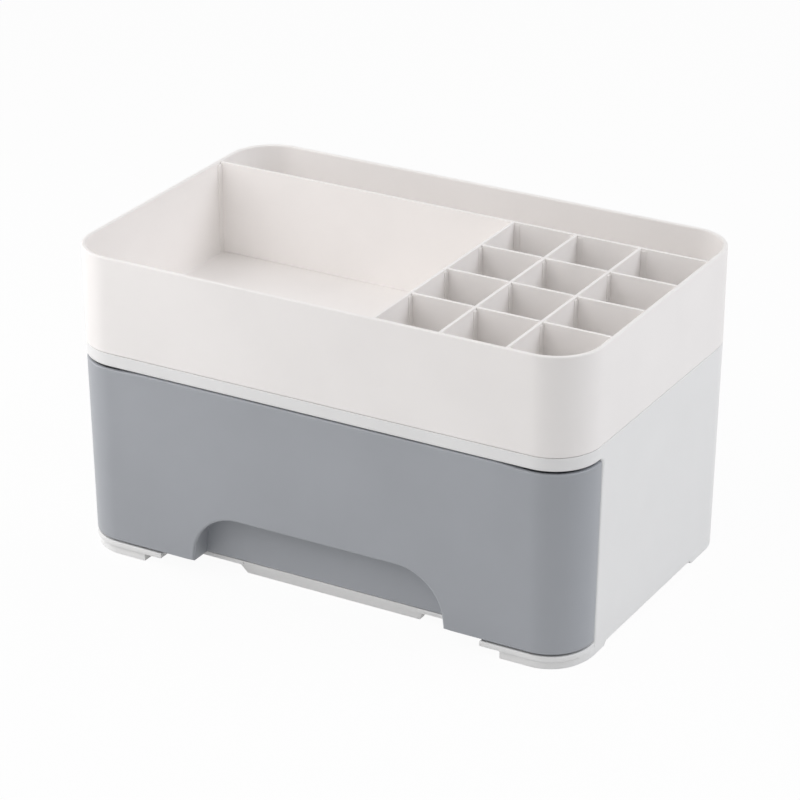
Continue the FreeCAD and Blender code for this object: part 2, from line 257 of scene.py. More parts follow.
# %% Rounding the corners of a profile
def unit(vectors):
    """Each row of an array divided by its own length."""
    return vectors / np.linalg.norm(vectors, axis=1, keepdims=True)


def rounded(corners, radii, steps=5, margin=0.25 * MM):
    """Open profile of (depth, height) pairs with an arc at every inner corner. An arc's point is its start
    radius times the sine of the angle to go, plus its end radius times the sine of the angle gone, over the
    sine of the whole turn."""
    corners = np.asarray(corners, float)
    radii = np.asarray(radii, float)[:, None]
    middle = corners[1:-1]
    back = unit(corners[:-2] - middle)
    ahead = unit(corners[2:] - middle)
    turn = math.pi - np.arccos(np.sum(back * ahead, axis=1, keepdims=True))
    setback = radii * np.tan(turn / 2)
    centre = middle + unit(back + ahead) * radii / np.cos(turn / 2)
    start = (middle + back * setback - centre)[:, None]
    end = (middle + ahead * setback - centre)[:, None]
    share = np.linspace(0, 1, steps + 1)[None, :, None]
    angle = turn[:, None, :]
    blend = (start * np.sin((1 - share) * angle) + end * np.sin(share * angle)) / np.sin(angle)
    arcs = centre[:, None] + blend
    before = (middle + back * (setback + margin))[:, None]
    after = (middle + ahead * (setback + margin))[:, None]
    inner = np.concatenate([before, arcs, after], axis=1).reshape(-1, 2)
    return np.concatenate([corners[:1], inner, corners[-1:]])


def carried(place, ring, profile):
    """A closed shell: the profile carried once round the ring, with a flat cap over each end of it."""
    points = place(ring[:, None], profile[None, :, 1], profile[None, :, 0])
    rows, columns = points.shape[:2]
    ends = [np.arange(rows)[None, ::-1] * columns, np.arange(rows)[None, :] * columns + columns - 1]
    return shell(points, [grid_faces(rows, columns, wrap_rows=True)] + ends)


print("one corner becomes", len(rounded([(0, 0), (0, 1), (1, 1)], [0.2])) - 2, "points")

# %% [markdown]
# ## The tray
#
# The tray is one thin shell. Its profile starts under the floor, goes down round the locating skirt that
# drops into the cabinet, out along the step that rests on the cabinet's rim, and round a shallow groove
# that draws the dark line between tray and cabinet. Then it runs up the outer wall, over the rim and down
# the inner wall to the floor. Two flat caps close the floor above and below. A thickened sheet would need
# fewer numbers, but it couldn't have a skirt, a step and a rim with a radius of their own.

# %% The tray's profile
spigot_depth = cabinet_wall + 0.3 * MM
skirt_depth = spigot_depth + 1.6 * MM
cap_margin = 3.0 * MM
groove_depth = 0.9 * MM
groove_top = seam_height + 0.32 * MM

tray_corners = [
    (skirt_depth + cap_margin, floor_under),
    (skirt_depth, floor_under),
    (skirt_depth, skirt_bottom),
    (spigot_depth, skirt_bottom),
    (spigot_depth, seam_height),
    (groove_depth, seam_height),
    (groove_depth, groove_top),
    (0, groove_top),
    (0, rim_height),
    (tray_wall, rim_height),
    (tray_wall, floor_top),
    (tray_wall + cap_margin, floor_top)]
tray_rounds = np.array([0.3, 0.3, 0.4, 0.3, 0.05, 0.05, 0.25, 0.75, 0.7, 0.8]) * MM
tray_profile = rounded(tray_corners, tray_rounds, margin=0.08 * MM)
tray_wall_shell = carried(on_wall, lap, tray_profile)
print("tray profile has", len(tray_profile), "points")

# %% [markdown]
# ## Plates and bars
#
# Slats, ribs, hooks and feet are flat plates with a drawn outline. The outline is moved inwards by the
# share one minus cosine of the edge radius while the surface rises by one minus sine of it, which draws a
# quarter circle along every edge. At a corner the two neighbouring edges share one mitred point: it moves
# along the sum of both inward directions, divided by one plus their dot product. A cube with a Bevel
# modifier would do for a bar, but the same few lines also draw a slotted slat or a foot that follows the
# wall.

# %% Moving a drawn loop inwards
def moved_in(loop, distance, jump=0.0):
    """The closed loop moved to the left of its direction of travel, mitred at its corners.
    A loop that runs once round the box closes with a jump of one lap between its end and its start."""
    gap = np.array([jump, 0.0])
    before = unit(loop - np.concatenate([loop[-1:] - gap, loop[:-1]]))
    after = unit(np.concatenate([loop[1:], loop[:1] + gap]) - loop)
    left_before = np.stack([-before[:, 1], before[:, 0]], 1)
    left_after = np.stack([-after[:, 1], after[:, 0]], 1)
    shared = 1 + np.sum(left_before * left_after, axis=1, keepdims=True)
    return loop + (left_before + left_after) / shared * np.reshape(distance, (-1, 1))


def edge_steps(radius, thickness, steps=4, margin=0.15 * MM):
    """Pairs (distance in from the edge, depth below the first face), from the first face to the second."""
    angle = np.linspace(math.pi / 2, 0, steps + 1)
    way_in = np.concatenate([[radius + margin], radius * (1 - np.cos(angle))])
    depth = np.concatenate([[0.0], radius * (1 - np.sin(angle))])
    first = np.stack([way_in, depth], 1)
    second = np.stack([way_in, thickness - depth], 1)[::-1]
    return np.concatenate([first, second])


print("a plate's edge has", len(edge_steps(0.25 * MM, slat_thickness)), "steps")

# %% Plates with rounded edges
def plate(loop, start, thickness, radius, upright, far_loop=None):
    """A plate from a loop drawn in two axes, `thickness` along the third axis from `start`.
    upright is the axis of the thickness: 0 for x, 1 for y, 2 for z; the loop has the other two, in order.
    With a far_loop the sides slope: each ring is a blend of both loops by its share of the thickness."""
    loop = np.asarray(loop, float)
    far_loop = loop if far_loop is None else np.asarray(far_loop, float)
    following = np.concatenate([loop[1:], loop[:1]])
    if np.sum(loop[:, 0] * following[:, 1] - loop[:, 1] * following[:, 0]) < 0:
        loop, far_loop = loop[::-1], far_loop[::-1]
    rings = []
    for way_in, depth in edge_steps(radius, thickness):
        share = depth / thickness
        flat = moved_in(loop * (1 - share) + far_loop * share, way_in)
        rings.append(np.insert(flat, upright, start + depth, axis=1))
    points = np.stack(rings)
    rows, columns = points.shape[:2]
    ends = [np.arange(columns)[None, :], np.arange(columns)[None, ::-1] + (rows - 1) * columns]
    return shell(points, [grid_faces(rows, columns, wrap_columns=True)] + ends)


def rectangle(left, front, right, rear):
    """The four corners of a rectangle as a loop."""
    return [(left, front), (right, front), (right, rear), (left, rear)]


def bar(low, high, radius):
    """A straight bar between two corners, in metres, with rounded edges."""
    return plate(rectangle(low[0], low[1], high[0], high[1]), low[2], high[2] - low[2], radius, 2)


# %% [markdown]
# ## The slats and the ribs that guide them
#
# Lengthwise slats 2 and 3 are slotted from below and the cross slats from above, so they cross at half
# their height. Short upright ribs stand in pairs beside each slat's end and keep it in line. They thin out
# away from the slat, so that each cell's corner shows a light strip. Every slat's place is read from its
# node. One solid grid would look the same from above, but these slats are loose plates, so each has its
# slots in its drawn outline.

# %% Places of the slats
rib_height = 0.7 * MM
rib_slope = 0.5 * MM
rib_length = 2.4 * MM
rib_gap = 0.02 * MM
rib_drop = 1.0 * MM
rib_round = 0.05 * MM
slat_end_gap = 0.1 * MM
slat_round = 0.25 * MM
lap_gap = 0.15 * MM
lap_height_gap = 0.2 * MM

slat_half = slat_thickness / 2
cross_boxes = [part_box(f"cross_slat_{i}") for i in (1, 2, 3)]
rows = [(low.y + high.y) / 2 for low, high in cross_boxes]
columns = [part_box(f"lengthwise_slat_{i}")[1].x - rib_height - slat_half for i in (1, 2, 3)]
divider_y = divider_high.y - slat_half
slot_half = slat_half + lap_gap
slot_middle = (floor_top + slat_top) / 2
print("columns at", [round(x, 4) for x in columns], "rows at", [round(y, 4) for y in rows])

# %% The tray's inner walls, and pairs of ribs
def inner_side(height):
    """x of the tray's inner side wall at this height."""
    return half_width - float(lean(height)) - tray_wall


def front_y(height, depth):
    """y of the front wall at this height, this deep inside its outer face."""
    return -half_depth + float(lean(height)) + depth


def on_hand(hand, near, far):
    """Two distances from the middle put on one hand of the box, -1 left or 1 right, in rising order."""
    return sorted((hand * near, hand * far))


def rib_pair(across, place, start, end):
    """Two upright ribs, one on each side of a slat; across names the axis along which they lie apart."""
    near = slat_half + rib_gap
    far = near + rib_length
    ribs = []
    for side in (-1, 1):
        loop = [(place + side * near, start), (place + side * near, end),
                (place + side * far, end - rib_slope), (place + side * far, start + rib_slope)]
        loop = loop if across == "x" else [(y, x) for x, y in loop]
        ribs.append(plate(loop, floor_top, slat_top - rib_drop - floor_top, rib_round, 2))
    return ribs


print(f"the tray is {2 * inner_side(floor_top):.4f} m wide inside at its floor")

# %% The tray with its guide ribs
side_wall = inner_side(floor_top)
front_wall = front_y(floor_top, tray_wall)
rib_root = tray_wall / 2
tray_ribs = []
for row in rows:
    tray_ribs += rib_pair("y", row, side_wall - rib_height, side_wall + rib_root)
for hand in (-1, 1):
    tray_ribs += rib_pair("y", divider_y, *on_hand(hand, side_wall - rib_height, side_wall + rib_root))
for column in columns:
    tray_ribs += rib_pair("x", column, front_wall - rib_root, front_wall + rib_height)
tray = make_piece("tray_moulding", [tray_wall_shell] + tray_ribs, "tray", "tray_shell")

# %% Slats from front to rear
slat_rear = divider_y - slat_half - slat_end_gap
slat_front = front_y(slat_top, tray_wall) + slat_end_gap
slot_top = slot_middle + lap_height_gap
slats = []
for number, column in enumerate(columns, 1):
    slotted = number > 1
    loop = [(front_wall + slat_end_gap, floor_top)]
    for row in rows if slotted else []:
        loop += [(row - slot_half, floor_top), (row - slot_half, slot_top),
                 (row + slot_half, slot_top), (row + slot_half, floor_top)]
    loop += [(slat_rear, floor_top), (slat_rear, slat_top), (slat_front, slat_top)]
    parts = [plate(loop, column - slat_half, slat_thickness, slat_round, 0)]
    rib_start = column - (slat_half + rib_height if slotted else 0)
    for row in rows:
        parts += rib_pair("y", row, rib_start, column + slat_half + rib_height)
    slats.append(make_piece(f"lengthwise_slat_plate_{number}", parts, "lattice",
                            f"lengthwise_slat_{number}"))

# %% Slats from side to side
cross_start = columns[0] + slat_half + slat_end_gap
low_end = inner_side(floor_top) - slat_end_gap
high_end = inner_side(slat_top) - slat_end_gap
for number, row in enumerate(rows, 1):
    loop = [(cross_start, floor_top), (low_end, floor_top), (high_end, slat_top)]
    for column in columns[:0:-1]:
        loop += [(column + slot_half, slat_top), (column + slot_half, slot_middle),
                 (column - slot_half, slot_middle), (column - slot_half, slat_top)]
    loop += [(cross_start, slat_top)]
    parts = [plate(loop, row - slat_half, slat_thickness, slat_round, 1)]
    slats.append(make_piece(f"cross_slat_plate_{number}", parts, "lattice",
                            f"cross_slat_{number}"))

# %% The long divider
loop = [(-low_end, floor_top), (low_end, floor_top), (high_end, slat_top), (-high_end, slat_top)]
parts = [plate(loop, divider_y - slat_half, slat_thickness, slat_round, 1)]
for column in columns:
    parts += rib_pair("x", column, divider_low.y, divider_y)
divider = make_piece("long_divider_plate", parts, "divider", "long_divider")

# %% [markdown]
# ## Curved panels with drawn borders
#
# The cabinet's wall and the drawer's front are sheets that follow the outline but have openings cut into
# their edges. A Boolean could cut them, but it leaves long thin faces that shade badly. So each sheet is
# drawn flat first, as if its outer face were unrolled: a lower and an upper border of (distance, height)
# pairs. Straight lines between matching points of the two borders fill the sheet. The borders are moved in
# step by step while the surface sinks, which rounds the edge, and the inner face repeats the outer one.

# %% A sheet between two borders
def panel(bottom, top, thickness, outer_round, inner_round, rows=9, closed=False, steps=5, margin=0.2 * MM):
    """A sheet between two borders with equally many points. A closed one runs once round the whole box.
    outer_round has a radius for each point of the edge; a closed sheet has two edges, so two such lists."""
    count = len(bottom)
    share = np.linspace(0, 1, rows)[None, :, None]
    grid = np.arange(count * rows).reshape(count, rows)
    if closed:
        loops = [bottom, top[::-1]]
        jumps = [2 * lap_half, -2 * lap_half]
        borders = [grid[:, 0], grid[::-1, -1]]
        radii = outer_round
        first_top = count
    else:
        side = share[0, 1:-1]
        right = bottom[-1] * (1 - side) + top[-1] * side
        left = top[0] * (1 - side) + bottom[0] * side
        loops = [np.concatenate([bottom, right, top[::-1], left])]
        jumps = [0.0]
        borders = [np.concatenate([grid[:, 0], grid[-1, 1:-1], grid[::-1, -1], grid[0, -2:0:-1]])]
        radii = [outer_round]
        first_top = count + rows - 2

    def face(move, depth):
        """The grid of one face, whose border lies `move` inside the drawn one."""
        moved = np.concatenate([moved_in(loop, m, j) for loop, m, j in zip(loops, move, jumps)])
        low, high = moved[:count], moved[first_top:first_top + count][::-1]
        flat = low[:, None] * (1 - share) + high[:, None] * share
        return on_wall(flat[..., 0], flat[..., 1], depth)

    angle = np.linspace(math.pi / 2, 0, steps + 1)
    outer = face([radius + margin for radius in radii], 0.0)
    inner = face([inner_round + margin] * len(loops), thickness)
    points = [outer.reshape(-1, 3), inner.reshape(-1, 3)]
    total = 2 * count * rows
    quads = grid_faces(count, rows, wrap_rows=closed)
    faces = [quads, (quads + count * rows)[:, ::-1]]
    for loop, radius, jump_here, border in zip(loops, radii, jumps, borders):
        lines = [border]
        moves = [(radius * (1 - math.cos(a)), radius * (1 - math.sin(a))) for a in angle]
        moves += [(inner_round * (1 - math.cos(a)), thickness - inner_round * (1 - math.sin(a)))
                  for a in angle[::-1]]
        for move, depth in moves:
            flat = moved_in(loop, move, jump_here)
            points.append(on_wall(flat[:, 0], flat[:, 1], depth))
            lines.append(total + np.arange(len(loop)))
            total += len(loop)
        lines.append(border + count * rows)
        for here, there in zip(lines[:-1], lines[1:]):
            faces.append(np.stack([there, np.roll(there, -1), np.roll(here, -1), here], 1))
    return shell(np.concatenate(points), faces)


# %% Helpers for the borders
def side_distance(y):
    """Distance round the outline of the point of the side wall with this y."""
    return front_half + quarter + y + side_half


def border_line(distances, heights):
    """Points of a border from its distances and its heights, either of which may be one number."""
    return np.stack(np.broadcast_arrays(distances, heights), 1)


def mirrored(border):
    """The right half of a border, from the middle of the front to the rear, put behind its mirror image."""
    return np.concatenate([border[::-1] * [-1, 1], border])


def spread(border, start, end):
    """The matching upper border's distances: the lower border's own ones outside `start` to `end`, and even
    steps along the border between those two points."""
    travelled = np.concatenate([[0], np.cumsum(np.linalg.norm(np.diff(border, axis=0), axis=1))])
    between = (travelled - travelled[start]) / (travelled[end] - travelled[start])
    even = border[start, 0] + between * (border[end, 0] - border[start, 0])
    chosen = np.arange(len(border))
    return np.where((chosen >= start) & (chosen <= end), even, border[:, 0])


window_side = side_distance(wall_front)
print(f"the drawer's opening is {2 * window_side:.4f} m wide")

# %% [markdown]
# ## The cabinet
#
# The cabinet's side walls, back and header are one sheet. Its lower border starts in the middle of the
# header, turns down round the drawer's opening, follows the side wall's front edge to the ground and runs
# along the feet and the raised skirt between them. The base plate, the feet and the flange behind the
# header are plates. Under the finger cut-out the base plate is set back behind a low sill, and the centre
# foot leans back towards the ground. The front corner feet run out to the wall's own face, so that apron
# and wall join without a step.

# %% The lower border: header and opening
window_corner = 2.5 * MM
arc_gap = 0.9 * MM
header_stop = 3.2 * MM
edge_start = 4.0 * MM
low_steps = np.array([12, 8, 5, 0]) * MM

header_steps = lap[(lap > 0) & (lap < window_side - window_corner - arc_gap)]
header_line = border_line(np.append(header_steps, window_side - header_stop), header_bottom)
turn = np.linspace(0, math.pi / 2, 7)[:, None]
arc_centre = np.array([window_side - window_corner, header_bottom - window_corner])
corner_arc = arc_centre + window_corner * np.concatenate([np.sin(turn), np.cos(turn)], 1)
edge_heights = np.concatenate([np.linspace(header_bottom - edge_start, low_steps[0], 11), low_steps[1:]])
front_edge = border_line(window_side, edge_heights)
header_count = len(header_line) + len(corner_arc)
edge_count = len(front_edge)
print("half of the header has", header_count, "points")

# %% The lower border: feet and skirt
skirt_height = 2.0 * MM
foot_slope = 2.0 * MM
foot_reach = 38.0 * MM
rear_foot_reach = 40.5 * MM
support = 3.0 * MM
skirt_middle = 20.0 * MM
rear_middle = 1.0 * MM

front_foot_end = side_distance(-half_depth + foot_reach)
rear_foot_start = side_distance(half_depth - rear_foot_reach)
rear_foot_end = lap_half - (half_width - foot_reach)
foot_line = np.array([
    (window_side + support, 0),
    (front_foot_end - foot_slope, 0),
    (front_foot_end, skirt_height),
    (front_foot_end + support, skirt_height),
    (front_foot_end + skirt_middle, skirt_height),
    (rear_foot_start - support, skirt_height),
    (rear_foot_start, skirt_height),
    (rear_foot_start + foot_slope, 0)])
rear_line = border_line(lap[(lap > rear_foot_start + 2 * support) & (lap < rear_foot_end - support)], 0.0)
rear_end = np.array([
    (rear_foot_end - foot_slope, 0),
    (rear_foot_end, skirt_height),
    (rear_foot_end + support, skirt_height),
    (lap_half - rear_middle, skirt_height)])
half_border = np.concatenate([header_line, corner_arc, front_edge, foot_line, rear_line, rear_end])
print("half of the lower border has", len(half_border), "points")

# %% The upper border and the cabinet's wall
window_round = 1.2 * MM
foot_round = 0.5 * MM
seam_round = 0.3 * MM
inner_round = 0.3 * MM

edge_end = header_count + edge_count
half_top = border_line(spread(half_border, header_count - 1, edge_end + 4), seam_height)
half_radius = np.where(np.arange(len(half_border)) < edge_end - 2, window_round, foot_round)
bottom_radius = np.concatenate([half_radius[::-1], half_radius])
top_radius = np.full(2 * len(half_top), seam_round)
cabinet_wall_shell = panel(mirrored(half_border), mirrored(half_top), cabinet_wall,
                           [bottom_radius, top_radius], inner_round, closed=True)
print("the cabinet's wall has", len(cabinet_wall_shell[0]), "points")

# %% The base plate, set back behind the sill
apron_x = half_width - 46.6 * MM
sill_front = box_front + 0.5 * MM
notch_y = sill_front + 3.6 * MM
tuck = 0.6 * MM
base_round = 0.5 * MM

apron_steps = lap[(lap > apron_x) & (lap < window_side)]
apron_steps = np.concatenate([[apron_x], apron_steps, [window_side - tuck]])
wall_steps = np.concatenate([[window_side + tuck], lap[lap > window_side + 2 * tuck]])
apron = on_wall(apron_steps, plate_top, 0.0)[:, :2]
rest = on_wall(wall_steps, plate_top, cabinet_wall / 2)[:, :2]
right_half = np.concatenate([[[apron_x, notch_y]], apron, rest])
base_loop = np.concatenate([right_half, right_half[::-1] * [-1, 1]])
base_plate = plate(base_loop, plate_under, plate_thickness, base_round, 2)
print("the base plate's outline has", len(base_loop), "points")

# %% The feet
strip_margin = 0.3 * MM
fade_length = 10.0 * MM


def between_walls(start, end, outer_depth, inner_depth, height, fade_from=None):
    """A curved strip of the plan between two distances and two depths, as one loop.
    With fade_from, the outer depth is multiplied by the way left to that distance over 10 mm, at most 1."""
    inside = lap[(lap > start + strip_margin) & (lap < end - strip_margin)]
    s = np.concatenate([[start], inside, [end]])
    near_side = np.clip((fade_from - np.abs(s)) / fade_length, 0, 1) if fade_from else 1.0
    outer = on_wall(s, height, outer_depth * near_side)[:, :2]
    inner = on_wall(s[::-1], height, inner_depth)[:, :2]
    return np.concatenate([outer, inner])


foot_inset = 1.0 * MM
foot_width = 6.0 * MM
foot_lift = 0.1 * MM
foot_overlap = 1.0 * MM
foot_top = plate_under + 0.3 * MM
side_foot = (window_side + tuck, front_foot_end - foot_slope / 2)
rear_foot = (rear_foot_start + foot_slope / 2, rear_foot_end - foot_slope / 2)
feet = []
for hand in (-1, 1):
    start, end = on_hand(hand, half_width - foot_reach + foot_overlap, window_side + foot_overlap)
    loop = between_walls(start, end, foot_inset, foot_inset + foot_width, plate_under, fade_from=window_side)
    feet.append(plate(loop, 0, foot_top, foot_round, 2))
    for near, far in (side_foot, rear_foot):
        start, end = on_hand(hand, near, far)
        loop = between_walls(start, end, cabinet_wall / 2, foot_width, plate_under)
        feet.append(plate(loop, foot_lift, foot_top - foot_lift, foot_round, 2))
print(len(feet), "foot shells")

# %% The centre foot and the sill
sill_top = drawer_bottom - 0.15 * MM
sill_bottom = sill_top - 2.1 * MM
sill_round = 0.35 * MM
sill_overlap = 0.5 * MM
foot_half = 45.3 * MM
foot_flare = 3.6 * MM
foot_lean = 3.4 * MM
foot_rear = sill_front + 7.0 * MM

high_half = foot_half + foot_flare
low_loop = rectangle(-foot_half, sill_front + foot_lean, foot_half, foot_rear)
high_loop = rectangle(-high_half, sill_front, high_half, foot_rear)
centre_foot = plate(low_loop, 0, sill_top, sill_round, 2, far_loop=high_loop)
sills = []
for hand in (-1, 1):
    left, right = on_hand(hand, foot_half + sill_overlap, apron_x + sill_overlap)
    sills.append(bar((left, sill_front, sill_bottom), (right, notch_y + MM, sill_top), sill_round))
print(f"the centre foot is {2 * foot_half:.4f} m wide on the ground")

# %% The flange, the stops and the cabinet
flange_overlap = 0.4 * MM
flange_reach = 7.0 * MM
flange_thickness = 2.0 * MM
flange_lift = 0.1 * MM
flange_round = 0.4 * MM
flange_end = window_side - MM
flange_loop = between_walls(-flange_end, flange_end, cabinet_wall - flange_overlap,
                            cabinet_wall + flange_reach, header_bottom)
flange = plate(flange_loop, header_bottom + flange_lift, flange_thickness - flange_lift, flange_round, 2)

stop_front = -half_depth + 22.0 * MM
stop_half = 13.0 * MM
stop_x = 40.0 * MM
stop_thickness = 1.6 * MM
stop_height = 0.75 * MM
stop_round = 0.25 * MM
stops = [bar((x - stop_half, stop_front, plate_top - MM),
             (x + stop_half, stop_front + stop_thickness, plate_top + stop_height), stop_round)
         for x in (-stop_x, stop_x)]
cabinet_shells = [cabinet_wall_shell, base_plate, centre_foot, flange] + sills + feet + stops
cabinet = make_piece("cabinet_moulding", cabinet_shells, "cabinet", "cabinet_shell")

# %% [markdown]
# ## The drawer's front
#
# The front is one grey sheet that wraps round both corners of the box. A wide arch with rounded shoulders
# is cut into its lower edge for the fingers. Its top edge rises 0.7 mm between the corners, so that only a
# thin gap is left under the header. Behind the arch a sleeve reaches back to the drawer box and makes a
# pocket, so that nobody looks into the hollow front. The sleeve leans in as it rises. The sheet is drawn as
# a panel, like the cabinet's wall, because then both follow the same outline and stay flush all the way
# round.

# %% The lower border, with its arch
mouth_half = 65.2 * MM
mouth_top = 33.7 * MM
mouth_radius = 24.0 * MM
beside_mouth = np.array([4, 12, 20, 24, 27, 30, 33, 36, 39]) * MM
corner_start = 105.0 * MM
ear_margin = 2.0 * MM


def arch(half, top, radius, slope=0.0, steps=14, crown=10.0 * MM):
    """Right half of an arch as (x, height) points from its crown to its foot at the drawer's lower edge.
    The side leans in by `slope` times its height; the shoulder is a quarter circle."""
    shoulder = top - radius
    side = half - slope * (shoulder - drawer_bottom)
    angle = np.linspace(math.pi / 2, 0, steps + 1)
    arc = np.stack([side - radius + radius * np.cos(angle), shoulder + radius * np.sin(angle)], 1)
    return np.concatenate([[[crown, top]], arc, [[half, drawer_bottom]]])


mouth = arch(mouth_half, mouth_top, mouth_radius)
drawer_end = side_distance(ear_rear)
round_corner = lap[(lap > corner_start) & (lap < drawer_end - ear_margin)]
below = np.concatenate([mouth_half + beside_mouth, round_corner, [drawer_end]])
front_border = np.concatenate([mouth, border_line(below, drawer_bottom)])
print("half of the drawer's border has", len(front_border), "points")

# %% The upper border, and the sheet
top_rise = 0.7 * MM
rise_end = 104.0 * MM
rise_run = 14.0 * MM
arch_round, end_round, top_round, low_round = 0.9 * MM, 0.5 * MM, 0.9 * MM, 0.5 * MM
panel_rows = 9

top_steps = spread(front_border, 0, len(mouth) + 2)
rise = np.clip((rise_end - top_steps) / rise_run, 0, 1)
front_top = border_line(top_steps, drawer_top + top_rise * rise * rise * (3 - 2 * rise))
half_radius = np.where(np.arange(len(front_border)) < len(mouth), arch_round, low_round)
ends = np.full(panel_rows - 2, end_round)
top_radius = np.full(2 * len(front_top), top_round)
front_radius = np.concatenate([half_radius[::-1], half_radius, ends, top_radius, ends])
front_sheet = panel(mirrored(front_border), mirrored(front_top), drawer_wall, front_radius, inner_round,
                    rows=panel_rows)
print("the drawer's sheet has", len(front_sheet[0]), "points")

# %% The sleeve of the finger pocket
pocket_wall = 1.6 * MM
pocket_slope = 0.13
pocket_top = 44.0 * MM
pocket_radius = 18.0 * MM
pocket_reach = 0.2 * MM
part_round = 0.3 * MM

sheet_middle = drawer_wall / 2
inner_arch = arch(mouth_half, pocket_top, pocket_radius, pocket_slope)
outer_arch = arch(mouth_half + pocket_wall, pocket_top + pocket_wall, pocket_radius + pocket_wall,
                  pocket_slope)
sleeve_loop = np.concatenate([mirrored(outer_arch), mirrored(inner_arch)[::-1]])
sleeve_front = front_y((drawer_bottom + pocket_top + MM) / 2, sheet_middle)
sleeve = plate(sleeve_loop, sleeve_front, box_front + pocket_reach - sleeve_front, part_round, 1)
print(f"the pocket is {box_front - sleeve_front:.4f} m deep")

# %% The shelf behind the top edge, and the end ribs
shelf_half = 103.0 * MM
shelf_low = drawer_top - 1.8 * MM
shelf_high = drawer_top - 0.05 * MM
lip_half = 90.0 * MM
lip_high = drawer_top + top_rise - 0.1 * MM
end_rib_thickness = 1.5 * MM
rib_low = drawer_bottom + 0.3 * MM
rib_high = drawer_top - 0.4 * MM

behind_sheet = front_y(drawer_top, sheet_middle)
shelf = bar((-shelf_half, behind_sheet, shelf_low), (shelf_half, box_front, shelf_high), part_round)
shelf_lip = bar((-lip_half, behind_sheet, drawer_top - MM), (lip_half, box_front, lip_high), part_round)
end_ribs = []
for hand in (-1, 1):
    left, right = on_hand(hand, shelf_half, shelf_half - end_rib_thickness)
    low_loop = rectangle(left, front_y(drawer_bottom, sheet_middle), right, box_front)
    high_loop = rectangle(left, behind_sheet, right, box_front)
    end_ribs.append(plate(low_loop, rib_low, rib_high - rib_low, part_round, 2, far_loop=high_loop))
print(f"the shelf is {box_front - behind_sheet:.4f} m deep")

# %% The snap hooks, and the whole front
hook_x = 86.0 * MM
hook_width = 8.0 * MM
hook_arm = 2.0 * MM
hook_tip = 1.0 * MM
hook_barb = 3.0 * MM
hook_round = 0.2 * MM
hook_heights = (22.0 * MM, 74.0 * MM)
catch_face = box_front + drawer_wall + 0.3 * MM
hook_end = box_front + drawer_wall + 2.6 * MM

hooks = []
for hand in (-1, 1):
    for low in hook_heights:
        root = front_y(low, sheet_middle)
        loop = [(root, low), (hook_end, low), (hook_end, low + hook_tip), (catch_face, low + hook_barb),
                (catch_face, low + hook_arm), (root, low + hook_arm)]
        hooks.append(plate(loop, hand * hook_x - hook_width / 2, hook_width, hook_round, 0))
front_shells = [front_sheet, sleeve, shelf, shelf_lip] + end_ribs + hooks
drawer_panel = make_piece("drawer_front_panel", front_shells, "drawer", "drawer_front")

# %% [markdown]
# ## The drawer box
#
# The box behind the front follows the outline too, 3.5 mm further in, but its front is a flat plane. A
# small arc joins that plane to the large corner. Both arcs share the direction in which their centres line
# up, so the angle where one hands over to the other is the arcsine of the centres' drop over their
# distance. Two runners carry the box, and two catches meet the cabinet's stops.

# %% The drawer box's own outline
box_inset = cabinet_wall + 1.0 * MM
box_corner = 4.0 * MM


def on_box(walk, height, depth):
    """Point of the drawer box's wall: its arc's centre plus the arc's radius times the direction. The size
    of walk goes 0-1 round the small front corner, 1-2 round the large one, 2-3 along the side and 3-4 round
    the rear corner; its sign is the hand."""
    walk, height, depth = np.broadcast_arrays(walk, height, depth)
    walked = np.abs(walk)
    small, large, side, rear = [np.clip(walked - i, 0, 1) for i in range(4)]
    reach = corner_radius - lean(height) - box_inset
    drop = -side_half - (box_front + box_corner)
    meet = np.arcsin(drop / (reach - box_corner))
    angle = -math.pi / 2 + (math.pi / 2 - meet) * small + meet * large + math.pi / 2 * rear
    first = walked < 1
    centre_x = front_half + np.where(first, np.sqrt((reach - box_corner) ** 2 - drop ** 2), 0)
    centre_y = np.where(first, box_front + box_corner, -side_half + 2 * side_half * side)
    radius = np.where(first, box_corner, reach) - depth
    x = np.sign(walk) * (centre_x + radius * np.cos(angle))
    return np.stack([x, centre_y + radius * np.sin(angle), height], -1)


half_walk = np.concatenate([
    np.linspace(0.001, 1, 9),
    np.linspace(1.1, 2, 10),
    [2.01, 2.99],
    np.linspace(3, 4, 15)])
box_walk = np.concatenate([-half_walk[::-1], half_walk])
print("the drawer box's outline has", len(box_walk), "steps")

# %% The drawer box with its runners and catches
drawer_floor = drawer_bottom + 2.0 * MM
box_corners = [
    (2.2 * MM, drawer_bottom),
    (0, drawer_bottom),
    (0, box_top),
    (drawer_wall, box_top),
    (drawer_wall, drawer_floor),
    (drawer_wall + 1.6 * MM, drawer_floor)]
box_rounds = np.array([1.2, 0.6, 0.6, 1.2]) * MM
box_shells = [carried(on_box, box_walk, rounded(box_corners, box_rounds, margin=0.12 * MM))]

runner_x = half_width - 26.0 * MM
runner_half = 1.25 * MM
runner_rear = 54.44 * MM
catch_front = 61.44 * MM
catch_low = drawer_bottom - stop_height
root_high = drawer_bottom + 0.6 * MM
for hand in (-1, 1):
    x = hand * runner_x
    box_shells.append(bar((x - runner_half, box_front + box_corner, plate_top),
                          (x + runner_half, runner_rear, root_high), part_round))
    x = hand * stop_x
    box_shells.append(bar((x - stop_half, catch_front, catch_low),
                          (x + stop_half, catch_front + stop_thickness, root_high), stop_round))
drawer_tub = make_piece("drawer_box_moulding", box_shells, "drawer", "drawer_box")

# %% [markdown]
# ## Moulded plastic
#
# Polystyrene housewares come from a spark-textured mould: the surface has a very fine grain, a satin gloss,
# and a colour that is even but not perfectly so. Two noises on Object coordinates carry this, because those
# need no unwrapping and stay put when the piece moves. The fine one, a few tenths of a millimetre, is the
# grain and drives a bump. The broad one, a few centimetres, is the way the melt flowed and moves the colour
# by a few percent and the roughness by about a tenth. What is the same everywhere, such as the index of
# refraction, is set on the shader itself.

# %% The plastic material
flow_low, flow_high = 0.3, 0.7


